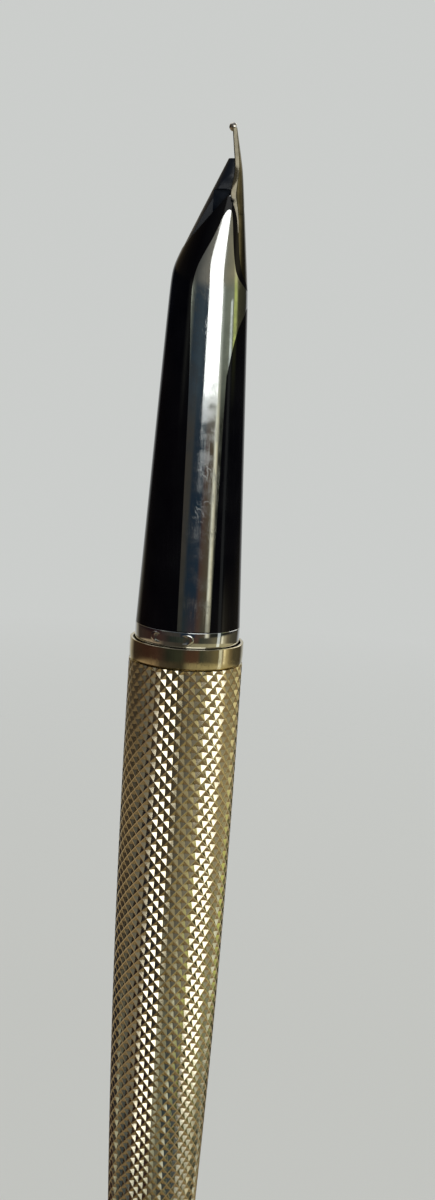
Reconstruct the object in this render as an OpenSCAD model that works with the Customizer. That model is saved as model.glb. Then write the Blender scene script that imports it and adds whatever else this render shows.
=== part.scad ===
// Slim fountain pen, uncapped: inlaid nib, black section with a metal inlay, engraved barrel, and a
// screw-driven converter inside. The axis is Z with the nib up. The origin is on the axis at the mouth
// of the barrel. +X is the side that the nib's upper face looks to.

/* [Section] */
// Radius of the grip section where it meets the clutch ring
section_r = 4.75; // [4.6:0.05:4.8]
// Fall of the section's radius per millimetre of length
section_taper = 0.0435; // [0.035:0.0005:0.045]
// Height at which the underside starts to round up to the feed
shoulder_z = 33; // [32:0.25:34]
// Slope of the feed's underside
feed_slope = 0.41; // [0.36:0.01:0.44]

/* [Nib] */
// Height of the tipping bead's centre
nib_z = 45.16; // [44.8:0.02:45.4]
// Thickness of the nib's metal
nib_t = 0.35; // [0.3:0.01:0.4]
// Width of the slit
slit_w = 0.12; // [0.08:0.01:0.16]

/* [Section inlay] */
// Thickness of the metal inlay
trim_t = 0.4; // [0.3:0.05:0.45]

/* [Clutch ring] */
// Radius of the ring that a cap slides over
clutch_r = 4.77; // [4.76:0.01:4.8]
// Length of the ring in front of the barrel
clutch_h = 1.45; // [1.3:0.05:1.6]
// Height of the two stamped lugs above the ring
lug_proud = 0.1; // [0.06:0.01:0.12]

/* [Barrel] */
// Greatest radius of the barrel
barrel_r = 5.2; // [5.15:0.01:5.3]
// Length of the barrel tube behind its mouth
barrel_len = 71.5; // [70.5:0.5:73]
// Wall of the barrel tube
barrel_wall = 0.58; // [0.55:0.01:0.58]
// Width of the smooth band at the mouth
band_h = 1.95; // [1.8:0.05:2]
// Curvature of the barrel's taper towards the tail
barrel_curve = 0.00044; // [0.0004:0.00001:0.00045]

/* [Converter] */
// Outside radius of the clear tube
tube_r = 3.25; // [3.2:0.01:3.27]
// Bore of the clear tube
tube_bore = 2.8; // [2.75:0.01:2.8]
// Radius of the spigot that the converter pushes on to
nipple_r = 1.2; // [1.1:0.05:1.2]

/* [Hidden] */

fit = 0.05;          // running clearance of a shaft in a bore
skin = 0.02;         // gap between pieces that are glued or pressed together
eps = 0.01;          // thickness of a loft's thin slices
round_fn = 72;       // sides of a lofted slice
$fn = 96;

// Section and nose
nose_z = 31.2;                       // end of the plain cone, where the nib's tail begins
shoulder_soft = 0.8;                 // softness of the underside's shoulder
crest_slope = 0.107;                 // fall of the nib's crest line
crest_bend_z = 41.6;                 // where the crest bends down to the point
crest_bend = 0.053;                  // how much it bends
open_low = [35.5, -1.9];             // lowest point of the oblique front opening, [z, x]
open_high = [39.2, 1.07];            // highest point of it, [z, x]
passage_low = [24, -0.15];           // ends of the feed's tapered passage, [z, x]
passage_high = [40, 0.85];
passage_r = [2.0, 1.3];              // radius of the passage at each end
bore_wide = 3.8;                     // bore round the liner
bore_slim = 3.0;                     // bore round the collector
bore_step = 10.1;                    // where the wide bore ends
bore_end = 27.5;                     // where the slim bore ends
lip_r = 4.8;                         // small lip at the section's rear edge
lip_h = 0.3;

// Nib seen from above: [z, half width]
nib_outline = [[31.35, 0], [31.45, 0.45], [31.8, 0.92], [32.3, 1.42], [33, 1.76], [34.2, 1.84],
    [35.8, 1.72], [37.4, 1.54], [38.7, 1.6], [39.3, 1.62], [40.2, 1.42], [41.6, 1.0], [42.6, 0.78],
    [44, 0.54], [45.15, 0.3]];
nib_r0 = 3.4;                        // radius of the nib's curve at its tail
nib_taper = 0.155;                   // fall of that radius per millimetre
bead_r = 0.34;                       // tipping bead
breather_r = 0.45;                   // breather hole
breather_z = 38.2;

// Inlay seen from the side: [z, x], round the strip and its bridge over the top
trim_outline = [[1.5, -0.9], [22.6, -1.19], [28, -1.4], [30.3, -1.45], [31.8, -1.37], [33, -1.09],
    [34, -0.67], [35.5, 0.07], [37.3, 0.74], [37.85, 1.08], [38.05, 1.35], [37.98, 1.56],
    [36.4, 1.78], [34.8, 1.92], [33.6, 2.1], [32.75, 2.27], [32.15, 2.6], [31.7, 2.98],
    [31.4, 3.3], [31.3, 4], [29.95, 4], [29.85, 3.42], [29.3, 3.3], [28.5, 2.98], [27.9, 2.74],
    [27.2, 2.58], [26.4, 2.42], [25.4, 2.25], [24, 2.06], [22.6, 2], [1.5, 2.02]];

// Joint between section and barrel
liner_r = 3.75;
liner_bore = 3.38;
liner_end = -11;
thread_crest = 4.1;                  // top of the male thread
thread_pitch = 1;
thread_from = -4;
thread_turns = 6;
skirt_r = 4.5;                       // part of the clutch ring inside the barrel's mouth
skirt_h = 1.8;
mouth_r = 4.9;                       // bore of the smooth band
lug_at = [-107, 73];                 // middle of each lug round the ring
lug_span = 50;                       // length of a lug in degrees
lug_z = 0.25;
lug_h = 1.0;
lug_crown = 2.4;                     // radius of a lug's rounded face, across the ring
seal_r = 0.25;
seal_z = -2.6;
seal_ring = 4.03;

// Barrel
band_fillet = 0.25;
straight_to = 10;                    // the barrel is straight this far behind its mouth
barrel_steps = 22;
liner_out = barrel_r - barrel_wall - skin;
end_len = 2;                         // finial behind the tube
end_rim = 0.5;                       // straight rim in front of the finial's dome
stud_r = 1.2;                        // finial's stud in the plug
stud_h = 2.6;
plug_h = 1.9;
neck_front = -1.1;                   // front of the tube's neck inside the band
mouth_liner = [-2.2, -13];           // front and back of the brass liner
mouth_step = 1.2;                    // length of the liner's wider mouth
mouth_bore = 4.35;
end_r = barrel_curve_r(barrel_len);

// Converter
socket_front = 4.3;
tube_front = -1.5;
tube_back = -42;
ferrule_back = -46;
collar_back = -50;
knob_front = -50.4;
knob_back = -61;
knob_r = 2.9;
screw_r = 0.78;
screw_top = -28.6;
rod_r = 1.7;
rod_bore = 0.84;
rod_top = -28;
rod_len = 20;
head_h = 4;

// Height of the upper line of section and nib at z
function crest(z) = z < nose_z
    ? section_r - section_taper * (z - clutch_h)
    : section_r - section_taper * (nose_z - clutch_h) - 0.05 - crest_slope * (z - nose_z)
        - crest_bend * (z - crest_bend_z + sqrt(pow(z - crest_bend_z, 2) + 0.5));
// Height of the lower line of section and feed at z
function belly(z) = -(section_r - section_taper * (z - clutch_h))
    + feed_slope / 2 * (z - shoulder_z + sqrt(pow(z - shoulder_z, 2) + pow(shoulder_soft, 2)));
function nib_curve(z) = nib_r0 - nib_taper * (z - nose_z);
// Radius of the barrel at a distance behind its mouth
function barrel_curve_r(d) = barrel_r - barrel_curve * pow(max(0, d - straight_to), 2);

// Convex body of the section and nose, less an inset all round
module section_loft(inset = 0, to = 40) {
    stations = [clutch_h, nose_z, 32.2, 33, 34, 35.2, 37, to];
    hull() for (z = stations)
        translate([(crest(z) + belly(z)) / 2, 0, z])
            cylinder(r = (crest(z) - belly(z)) / 2 - inset, h = eps, $fn = round_fn);
}

// Convex body whose upper side is the nib's outer face
module nib_loft(inset = 0) {
    stations = [30, nose_z, 36, 41.2, 42.8, 45.6];
    hull() for (z = stations)
        translate([crest(z) - nib_curve(z), 0, z])
            cylinder(r = nib_curve(z) - inset, h = eps, $fn = round_fn);
}

// Straight prism over the nib's outline
module nib_prism(grow = 0) {
    sides = concat([for (p = nib_outline) [p[0], p[1] + grow]],
        [for (i = [len(nib_outline) - 1:-1:0]) [nib_outline[i][0], -nib_outline[i][1] - grow]]);
    translate([5, 0, 0]) rotate([0, -90, 0]) linear_extrude(height = 4.3) polygon(sides);
}

// Recess that the nib lies in
module nib_bed() {
    difference() {
        nib_prism(skin);
        nib_loft(nib_t + skin);
    }
}

// Straight prism through the inlay's outline
module trim_prism() {
    rotate([90, 0, 0]) translate([0, 0, -6]) linear_extrude(height = 12)
        polygon([for (p = trim_outline) [p[1], p[0]]]);
}

// Everything in front of the oblique opening
module front_zone(gap = 0) {
    run = open_high - open_low;
    tilt = atan2(run[1], run[0]);
    translate([open_low[1], 0, open_low[0]]) rotate([0, tilt, 0])
        translate([-12, -6, -4]) cube([12 - gap, 12, 16]);
}

// Tapered passage of the feed, which leans up towards the nib
module passage(gap = 0) {
    run = passage_high - passage_low;
    translate([passage_low[1], 0, passage_low[0]]) rotate([0, atan2(run[1], run[0]), 0])
        cylinder(r1 = passage_r[0] - gap, r2 = passage_r[1] - gap, h = norm(run));
}

module tube(r, bore, from, to) {
    translate([0, 0, from]) difference() {
        cylinder(r = r, h = to - from);
        translate([0, 0, -1]) cylinder(r = bore, h = to - from + 2);
    }
}

// Ring with sloped flanks, which stands for one turn of a thread
module thread_turn(root, top, z) {
    flank = abs(top - root) * 0.58;
    rotate_extrude() polygon([[root, z - flank - 0.1], [top, z - 0.1], [top, z + 0.1],
        [root, z + flank + 0.1]]);
}

module section_shell() {
    color([0.02, 0.02, 0.025]) difference() {
        union() {
            section_loft();
            translate([0, 0, clutch_h]) cylinder(r = lip_r, h = lip_h);
        }
        difference() {
            trim_prism();
            section_loft(trim_t);
        }
        nib_bed();
        front_zone();
        passage();
        translate([-10, -10, open_high[0]]) cube(20);
        cylinder(r = bore_wide, h = bore_step);
        cylinder(r = bore_slim, h = bore_end);
    }
}

module section_trim() {
    color([0.75, 0.76, 0.78]) difference() {
        intersection() {
            trim_prism();
            section_loft();
        }
        section_loft(trim_t);
        nib_bed();
    }
}

// The nib's curved sheet, before it is slit
module nib_sheet() {
    intersection() {
        nib_prism();
        difference() {
            nib_loft();
            nib_loft(nib_t);
        }
    }
}

module nib() {
    color([0.72, 0.62, 0.45]) difference() {
        nib_sheet();
        translate([0, -slit_w / 2, breather_z]) cube([5, slit_w, 10]);
        translate([0, 0, breather_z]) rotate([0, 90, 0]) cylinder(r = breather_r, h = 6, $fn = 32);
    }
}

module nib_tip() {
    color([0.8, 0.8, 0.82]) difference() {
        translate([crest(nib_z) - nib_t, 0, nib_z]) sphere(r = bead_r, $fn = 32);
        translate([0, -slit_w / 2, nib_z - 1]) cube([3, slit_w, 3]);
        nib_sheet();
    }
}

module feed() {
    step_z = 39.85;
    step_x = -0.1;
    color([0.05, 0.05, 0.055]) difference() {
        union() {
            intersection() {
                front_zone(skin);
                section_loft(fit, 42.5);
                nib_loft(nib_t + skin);
            }
            intersection() {
                passage(fit);
                translate([-4, -4, 24]) cube([8, 8, 14.5]);
            }
        }
        for (side = [-1, 1]) {
            translate([-3, side * 1.9 - 1, step_z]) cube([6, 2, 5]);
            translate([-5 + step_x, side * 2 - 1, 34]) cube([5, 2, 8]);
        }
        translate([0, -slit_w / 2, 37]) cube([5, slit_w, 8]);
        translate([0, 0, 23]) cylinder(r = 0.56, h = 3.5);
    }
}

module collector() {
    fins = 9;
    color([0.09, 0.09, 0.1]) difference() {
        union() {
            translate([0, 0, 12]) cylinder(r = 1.8, h = 11.9);
            for (i = [0:fins - 1])
                translate([0, 0, 12 + i * 1.4]) cylinder(r = bore_slim - fit, h = 0.7);
        }
        translate([0, 0, 11]) cylinder(r = 0.56, h = 14);
        translate([1.4, -0.3, 11]) cube([3, 0.6, 14]);
    }
}

module ink_rod() {
    color([0.85, 0.83, 0.78]) translate([0, 0, 6.6]) cylinder(r = 0.5, h = 19.6);
}

module section_liner() {
    color([0.2, 0.2, 0.21]) difference() {
        union() {
            translate([0, 0, liner_end]) cylinder(r = liner_r, h = bore_step - skin - liner_end);
            for (i = [0:thread_turns - 1])
                thread_turn(liner_r - 0.1, thread_crest, thread_from - i * thread_pitch);
        }
        translate([0, 0, liner_end - 1]) cylinder(r = liner_bore, h = 6.6 - liner_end + 1);
        cylinder(r = 2, h = 20);
    }
}

module nipple() {
    flange_z = 5;
    color([0.15, 0.15, 0.16]) difference() {
        union() {
            translate([0, 0, flange_z]) cylinder(r = liner_bore - skin, h = 1.5);
            translate([0, 0, -0.1]) cylinder(r = nipple_r, h = flange_z + 0.2);
            translate([0, 0, -0.7]) cylinder(r1 = 0.8, r2 = nipple_r, h = 0.6);
        }
        translate([0, 0, -2]) cylinder(r = 0.55, h = 10);
    }
}

module section_gasket() {
    color([0.12, 0.12, 0.12]) tube(bore_slim - skin, 1.3, bore_step + 0.1, 11.9);
}

module thread_seal() {
    color([0.1, 0.1, 0.1]) translate([0, 0, seal_z]) rotate_extrude()
        translate([seal_ring, 0]) circle(r = seal_r, $fn = 24);
}

module clutch_ring() {
    color([0.8, 0.81, 0.83]) difference() {
        union() {
            cylinder(r = clutch_r, h = clutch_h - skin);
            translate([0, 0, -skirt_h]) cylinder(r = skirt_r, h = skirt_h + 0.1);
        }
        translate([0, 0, -skirt_h - 1]) cylinder(r = liner_r + skin, h = 6);
    }
}

module clutch_lugs() {
    color([0.85, 0.86, 0.88]) for (a = lug_at) rotate([0, 0, a]) difference() {
        intersection() {
            rotate_extrude() translate([clutch_r + lug_proud - lug_crown, lug_z + lug_h / 2])
                circle(r = lug_crown);
            translate([0, 0, lug_z + lug_h / 2]) rotate([0, 90, 0]) lug_slab();
        }
        translate([0, 0, -1]) cylinder(r = clutch_r, h = 4);
    }
}

// Long slab with round ends, in its own plane
module lug_slab() {
    half = clutch_r * sin(lug_span / 2) - lug_h / 2;
    cylinder(r = lug_h / 2, h = 6);
    for (side = [-1, 1]) translate([0, side * half, 0]) cylinder(r = lug_h / 2, h = 6);
    translate([-lug_h / 2, -half, 0]) cube([lug_h, 2 * half, 6]);
}

module barrel_ring() {
    color([0.75, 0.63, 0.4]) rotate_extrude() polygon([[mouth_r, 0],
        [barrel_r - 0.06, 0], [barrel_r, -0.06], [barrel_r, -band_h + band_fillet],
        [barrel_r - 0.08, -band_h + 0.08], [barrel_r - 0.2, -band_h], [mouth_r, -band_h]]);
}

module barrel_tube() {
    outer = [for (i = [0:barrel_steps]) let(d = band_h + (barrel_len - band_h) * i / barrel_steps)
        [barrel_curve_r(d), -d]];
    inner = [for (i = [barrel_steps:-1:0]) let(d = band_h + (barrel_len - band_h) * i / barrel_steps)
        [barrel_curve_r(d) - barrel_wall, -d]];
    neck = [[barrel_r - barrel_wall, neck_front], [mouth_r - skin, neck_front],
        [mouth_r - skin, -band_h]];
    color([0.75, 0.62, 0.38]) rotate_extrude() polygon(concat(outer, inner, neck));
}

module barrel_liner() {
    front = mouth_liner[0];
    color([0.7, 0.55, 0.25]) union() {
        tube(liner_out, mouth_bore, mouth_liner[1], front - mouth_step);
        tube(liner_out, mouth_bore + 0.1, front - mouth_step - 0.1, front);
        for (i = [0:thread_turns])
            thread_turn(4.36, thread_crest + fit + 0.01, thread_from + 0.5 - i * thread_pitch);
    }
}

module barrel_end() {
    color([0.78, 0.66, 0.42]) union() {
        rotate_extrude() polygon(concat([[0, -barrel_len - skin], [end_r, -barrel_len - skin],
            [end_r, -barrel_len - end_rim]],
            [for (a = [15:15:90])
                [end_r * cos(a), -barrel_len - end_rim - (end_len - end_rim) * sin(a)]]));
        translate([0, 0, -barrel_len - 0.1]) cylinder(r = stud_r, h = stud_h);
    }
}

module tail_plug() {
    color([0.7, 0.55, 0.25]) difference() {
        translate([0, 0, -barrel_len + 0.1])
            cylinder(r = end_r - barrel_wall - skin, h = plug_h);
        translate([0, 0, -barrel_len - 1]) cylinder(r = stud_r + skin, h = 5);
    }
}

module converter_socket() {
    color([0.1, 0.1, 0.11]) difference() {
        union() {
            translate([0, 0, tube_front]) cylinder(r = tube_r, h = socket_front - tube_front);
            translate([0, 0, tube_front - 2.5]) cylinder(r = tube_bore - skin, h = 2.6);
        }
        translate([0, 0, tube_front - 4]) cylinder(r = nipple_r + fit, h = 12);
    }
}

module converter_tube() {
    color([0.8, 0.85, 0.88, 0.5]) tube(tube_r, tube_bore, tube_back, tube_front - eps);
}

module converter_ferrule() {
    color([0.75, 0.76, 0.78]) tube(3.6, tube_r + skin, ferrule_back, -30);
}

module converter_collar() {
    color([0.1, 0.1, 0.11]) difference() {
        union() {
            translate([0, 0, collar_back]) cylinder(r = 3.5, h = ferrule_back - skin - collar_back);
            translate([0, 0, collar_back]) cylinder(r = tube_r, h = tube_back - skin - collar_back);
        }
        translate([0, 0, collar_back + 1.5]) cylinder(r = rod_r + fit, h = 10);
        translate([0, 0, collar_back - 1]) cylinder(r = 1 + fit, h = 10);
    }
}

module agitator_ball() {
    color([0.8, 0.8, 0.82]) translate([-1.9, 0, -5]) sphere(r = 0.8);
}

module converter_knob() {
    flutes = 16;
    color([0.08, 0.08, 0.09]) difference() {
        union() {
            translate([0, 0, knob_back + 0.5]) cylinder(r = knob_r, h = knob_front - knob_back - 0.5);
            translate([0, 0, knob_back]) cylinder(r1 = knob_r - 0.5, r2 = knob_r, h = 0.5);
        }
        for (i = [0:flutes - 1]) rotate([0, 0, i * 360 / flutes])
            translate([knob_r + 0.15, 0, knob_back + 1]) cylinder(r = 0.4, h = 8, $fn = 16);
        translate([0, 0, knob_front - 3]) cylinder(r = 1 + skin, h = 5);
    }
}

module lead_screw() {
    turns = 13;
    color([0.75, 0.75, 0.77]) union() {
        translate([0, 0, knob_front - 3]) cylinder(r = 1, h = collar_back + 1.5 - knob_front + 3);
        translate([0, 0, collar_back + 1]) cylinder(r = screw_r - 0.16, h = screw_top - collar_back - 1);
        for (i = [0:turns - 1]) thread_turn(screw_r - 0.26, screw_r, screw_top - 0.6 - i * 1.5);
    }
}

module piston_rod() {
    color([0.12, 0.12, 0.13]) tube(rod_r, rod_bore, rod_top - rod_len, rod_top);
}

module piston_head() {
    color([0.15, 0.15, 0.16]) translate([0, 0, rod_top + skin]) difference() {
        cylinder(r = 2.4, h = head_h);
        for (z = [0.6, 2.6]) translate([0, 0, z]) rotate_extrude() translate([1.9, 0]) square([1, 0.8]);
    }
}

module piston_seals() {
    color([0.25, 0.25, 0.26]) for (z = [0.6, 2.6]) translate([0, 0, rod_top + skin + z + 0.4])
        rotate_extrude() translate([2.35, 0]) intersection() {
            circle(r = 0.4, $fn = 24);
            square([2, 0.76], center = true);
        }
}

section_shell();
section_trim();
nib();
nib_tip();
feed();
collector();
ink_rod();
section_liner();
nipple();
section_gasket();
thread_seal();
clutch_ring();
clutch_lugs();
barrel_ring();
barrel_tube();
barrel_liner();
barrel_end();
tail_plug();
converter_socket();
converter_tube();
converter_ferrule();
converter_collar();
agitator_ball();
converter_knob();
lead_screw();
piston_rod();
piston_head();
piston_seals();
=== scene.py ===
"""Slim fountain pen, uncapped: its finished meshes and materials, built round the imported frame."""
import logging
import math
from dataclasses import dataclass, field
from enum import Enum
from typing import Callable, Sequence

import bmesh
import bpy
import numpy as np
from mathutils import Matrix, Vector


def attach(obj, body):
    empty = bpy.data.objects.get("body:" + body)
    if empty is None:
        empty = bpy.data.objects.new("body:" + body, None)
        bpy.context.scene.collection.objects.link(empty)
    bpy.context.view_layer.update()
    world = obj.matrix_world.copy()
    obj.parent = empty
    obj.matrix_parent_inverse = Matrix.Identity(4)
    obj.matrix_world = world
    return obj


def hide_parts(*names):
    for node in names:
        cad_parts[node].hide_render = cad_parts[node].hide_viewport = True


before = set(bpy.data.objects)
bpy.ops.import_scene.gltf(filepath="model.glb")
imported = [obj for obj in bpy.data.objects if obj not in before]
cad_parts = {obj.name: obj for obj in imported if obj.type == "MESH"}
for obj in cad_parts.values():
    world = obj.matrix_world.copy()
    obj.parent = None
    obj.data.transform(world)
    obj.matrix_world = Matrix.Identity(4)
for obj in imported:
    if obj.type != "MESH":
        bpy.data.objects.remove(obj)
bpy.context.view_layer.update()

MM = 0.001
log = logging.getLogger("pen")

Colour = tuple[float, float, float]
Point = tuple[float, float]
Shape = Callable[[float, float, float], float]


class Slot(Enum):
    """The record's material slots."""

    RESIN = "black_resin"
    INLAY = "polished_inlay"
    NIB = "nib_gold"
    TIP = "tip_alloy"
    FEED = "feed_plastic"
    WICK = "wick"
    LINER = "liner_plastic"
    SEAL = "seal_rubber"
    CHROME = "chrome"
    GILT = "gilt_smooth"
    ENGRAVED = "gilt_engraved"
    BRASS = "brass"
    CONVERTER = "converter_black"
    CLEAR = "clear_tube"
    STEEL = "ferrule_steel"


class Body(Enum):
    """The rigid bodies of the frame."""

    GRIP = "grip"
    CARRIER = "barrel_carrier"
    BARREL = "barrel"
    CONVERTER = "converter"
    KNOB = "knob"
    PISTON = "piston"


# ---------------------------------------------------------------------------------- shader maths


class Value:
    """A number in a shader: an output socket whose operators add Math nodes."""

    def __init__(self, maker: "NodeMaker", socket: bpy.types.NodeSocket) -> None:
        """Wraps a socket of the maker's tree."""
        self.maker = maker
        self.socket = socket

    def _math(self, operation: str, *terms: "Value | float", clamp: bool = False) -> "Value":
        """Adds a Math node.

        Args:
            operation: the node's operation.
            terms: its inputs in order.
            clamp: whether the result is kept from 0 to 1.

        Returns:
            The node's result.
        """
        settings = {"operation": operation, "use_clamp": clamp}
        return self.maker.value("ShaderNodeMath", settings, dict(enumerate(terms)))

    def __add__(self, other: "Value | float") -> "Value":
        """self + other."""
        return self._math("ADD", self, other)

    def __radd__(self, other: float) -> "Value":
        """other + self."""
        return self._math("ADD", other, self)

    def __sub__(self, other: "Value | float") -> "Value":
        """self - other."""
        return self._math("SUBTRACT", self, other)

    def __rsub__(self, other: float) -> "Value":
        """other - self."""
        return self._math("SUBTRACT", other, self)

    def __mul__(self, other: "Value | float") -> "Value":
        """self * other."""
        return self._math("MULTIPLY", self, other)

    def __rmul__(self, other: float) -> "Value":
        """other * self."""
        return self._math("MULTIPLY", other, self)

    def __truediv__(self, other: "Value | float") -> "Value":
        """self / other."""
        return self._math("DIVIDE", self, other)

    def __abs__(self) -> "Value":
        """Size of self without its sign."""
        return self._math("ABSOLUTE", self)

    def clipped(self) -> "Value":
        """self kept from 0 to 1."""
        return self._math("ADD", self, 0.0, clamp=True)

    def step(self, low: float, high: float) -> "Value":
        """Ramp from 0 where self is low to 1 where it is high."""
        return ((self - low) / (high - low)).clipped()


class NodeMaker:
    """Adds nodes to one tree."""

    def __init__(self, tree: bpy.types.NodeTree) -> None:
        """Starts on an emptied tree."""
        self.tree = tree
        tree.nodes.clear()

    def node(self, kind: str, settings: dict | None = None, values: dict | None = None) -> bpy.types.Node:
        """Adds a node of any kind.

        Args:
            kind: the node's type name.
            settings: its own properties, set before its sockets.
            values: numbers, colours, Values or sockets by socket name or number.

        Returns:
            The new node.
        """
        made = self.tree.nodes.new(kind)
        for key, setting in (settings or {}).items():
            if key == "stops":
                self._stops(made.color_ramp, setting)
            else:
                setattr(made, key, setting)
        for key, value in (values or {}).items():
            socket = made.inputs[key]
            value = value.socket if isinstance(value, Value) else value
            if isinstance(value, bpy.types.NodeSocket):
                self.tree.links.new(value, socket)
            elif isinstance(value, tuple) and len(value) == 3 and socket.type == "RGBA":
                socket.default_value = (*value, 1.0)
            else:
                socket.default_value = value
        return made

    @staticmethod
    def _stops(ramp: bpy.types.ColorRamp, stops: Sequence[tuple[float, Colour]]) -> None:
        """Gives a colour ramp its stops.

        Args:
            ramp: the ramp.
            stops: the place and the colour of each.
        """
        while len(ramp.elements) < len(stops):
            ramp.elements.new(1.0)
        for element, (place, colour) in zip(ramp.elements, stops):
            element.position = place
            element.color = (*colour, 1.0)

    def value(self, kind: str, settings: dict | None = None, values: dict | None = None,
              output: str | int = 0) -> Value:
        """Adds a node as node() does, and wraps its output of the given name or number."""
        return Value(self, self.node(kind, settings, values).outputs[output])

    def place(self, scale: tuple[float, float, float] = (1, 1, 1), turn: float = 0.0) -> bpy.types.NodeSocket:
        """Place on the piece in millimetres.

        Args:
            scale: how much finer the pattern is along each axis.
            turn: turn about the pen's axis and its side, in radians.

        Returns:
            The vector socket.
        """
        there = self.node("ShaderNodeTexCoord").outputs["Object"]
        if turn:
            there = self.node("ShaderNodeVectorRotate", {"rotation_type": "EULER_XYZ"},
                              {"Vector": there, "Rotation": (turn, turn * 0.7, turn * 0.4)}).outputs[0]
        each = tuple(s / MM for s in scale)
        return self.node("ShaderNodeVectorMath", {"operation": "MULTIPLY"}, {0: there, 1: each}).outputs[0]

    def noise(self, size: float, detail: float = 3.0, stretch: tuple[float, float, float] = (1, 1, 1),
              turn: float = 0.0) -> Value:
        """Even noise from 0 to 1.

        Args:
            size: size of its patches in millimetres.
            detail: how many finer layers it has.
            stretch: how much finer it is along each axis.
            turn: turn of the pattern in radians.

        Returns:
            The noise.
        """
        there = self.place(tuple(s / size for s in stretch), turn)
        return self.value("ShaderNodeTexNoise", None, {"Vector": there, "Scale": 1.0, "Detail": detail})

    def scratches(self, length: float, width: float, turn: float, thin: float = 0.02) -> Value:
        """Fine scratches, 1 on a scratch and 0 beside it.

        Args:
            length: usual length of a scratch in millimetres.
            width: usual gap between scratches in millimetres.
            turn: their direction in radians.
            thin: share of the gap that a scratch fills.

        Returns:
            The mask.
        """
        lines = self.noise(1.0, 1.0, (1 / width, 1 / width, 1 / length), turn)
        patches = self.noise(length * 0.6, 1.0, turn=turn + 1).step(0.48, 0.6)
        return (1 - abs(lines - 0.5) / thin).clipped() * patches

    def mix(self, factor: Value | float, first: object, second: object) -> bpy.types.NodeSocket:
        """Mix of two colours by a factor."""
        return self.node("ShaderNodeMix", {"data_type": "RGBA"}, {0: factor, 6: first, 7: second}).outputs[2]

    def bump(self, height: Value, depth: float,
             under: bpy.types.NodeSocket | None = None) -> bpy.types.NodeSocket:
        """Bump of a height.

        Args:
            height: how high the surface stands, from 0 to 1.
            depth: what a height of 1 is in millimetres.
            under: a bump that lies under this one, where there is one.

        Returns:
            The normal.
        """
        values = {"Height": height, "Distance": depth * MM, "Strength": 1.0}
        if under is not None:
            values["Normal"] = under
        return self.node("ShaderNodeBump", None, values).outputs[0]


# -------------------------------------------------------------------------------------- finishes

# Length, gap, direction and share of the gap, as NodeMaker.scratches takes them.
LONG_SCRATCHES = (14.0, 0.3, 0.08, 0.03)
CROSSED_SCRATCHES = (7.0, 0.35, 0.45, 0.02)

# Where the mottling starts to wear or roughen a finish and where it does so fully, as Value.step
# takes them, and what the patches and the scratches each add to the wear.
WORN_PATCHES = (0.42, 0.7)
ROUGH_PATCHES = (0.35, 0.7)
PATCH_WEAR = 0.7
SCRATCH_WEAR = 0.5


@dataclass(frozen=True)
class Finish:
    """A finish with two tones, roughness that varies, fine scratches and a grain.

    Sizes are in millimetres. mottle and grain are the sizes of their patches, and rough_range is how
    much rougher a worn or scratched place is.
    """

    slot: Slot
    tone: Colour
    worn: Colour
    roughness: float
    rough_range: float = 0.04
    metallic: float = 0.0
    mottle: float = 2.0
    scratch_depth: float = 0.0
    grain: float = 0.3
    grain_depth: float = 0.0
    ior: float = 1.5

    def tint(self, maker: NodeMaker, wear: Value) -> bpy.types.NodeSocket:
        """Colour over the surface."""
        return maker.mix(wear, self.tone, self.worn)

    def relief(self, maker: NodeMaker, scratch: Value) -> bpy.types.NodeSocket | None:
        """Bump of the scratches and the grain.

        Args:
            maker: adds the nodes.
            scratch: 1 on a scratch and 0 beside it.

        Returns:
            The normal, or None where the finish has neither.
        """
        under = None
        if self.grain_depth:
            under = maker.bump(maker.noise(self.grain, 4.0), self.grain_depth)
        if self.scratch_depth:
            under = maker.bump(1 - scratch, self.scratch_depth, under)
        return under

    def constants(self, shader: bpy.types.Node) -> None:
        """Sets what is the same all over the surface."""
        shader.inputs["Metallic"].default_value = self.metallic
        shader.inputs["IOR"].default_value = self.ior

    def material(self) -> bpy.types.Material:
        """Builds the material.

        Returns:
            The material, named after its slot.
        """
        made = bpy.data.materials.new(self.slot.value)
        made.use_nodes = True
        maker = NodeMaker(made.node_tree)
        patches = maker.noise(self.mottle, 4.0)
        marks = (maker.scratches(*LONG_SCRATCHES) + maker.scratches(*CROSSED_SCRATCHES)).clipped()
        wear = (patches.step(*WORN_PATCHES) * PATCH_WEAR + marks * SCRATCH_WEAR).clipped()
        rough = self.roughness + self.rough_range * (patches.step(*ROUGH_PATCHES) + marks)
        shader = maker.node("ShaderNodeBsdfPrincipled", None,
                            {"Base Color": self.tint(maker, wear), "Roughness": rough})
        relief = self.relief(maker, marks)
        if relief is not None:
            maker.tree.links.new(relief, shader.inputs["Normal"])
        self.constants(shader)
        maker.node("ShaderNodeOutputMaterial", None, {"Surface": shader.outputs[0]})
        return made


@dataclass(frozen=True)
class EngravedFinish(Finish):
    """Gilt that is dull in its cuts, read from the mesh's own height attribute."""

    cut: Colour = (0.32, 0.27, 0.17)
    cut_edge: float = 0.30
    cut_share: float = 0.6

    def tint(self, maker: NodeMaker, wear: Value) -> bpy.types.NodeSocket:
        """Gilt on the ridges, dull at the bottom of the cuts.

        Args:
            maker: adds the nodes.
            wear: 1 where the gilt is worn and 0 where it isn't.

        Returns:
            The colour.
        """
        height = maker.value("ShaderNodeAttribute", {"attribute_name": "height"}, None, "Fac")
        dull = (1 - height.step(0.0, self.cut_edge)) * self.cut_share
        return maker.mix(dull, super().tint(maker, wear), self.cut)


@dataclass(frozen=True)
class ClearFinish(Finish):
    """Clear moulded plastic."""

    clearness: float = 0.95

    def constants(self, shader: bpy.types.Node) -> None:
        """Lets light through."""
        super().constants(shader)
        shader.inputs["Transmission Weight"].default_value = self.clearness


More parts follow.
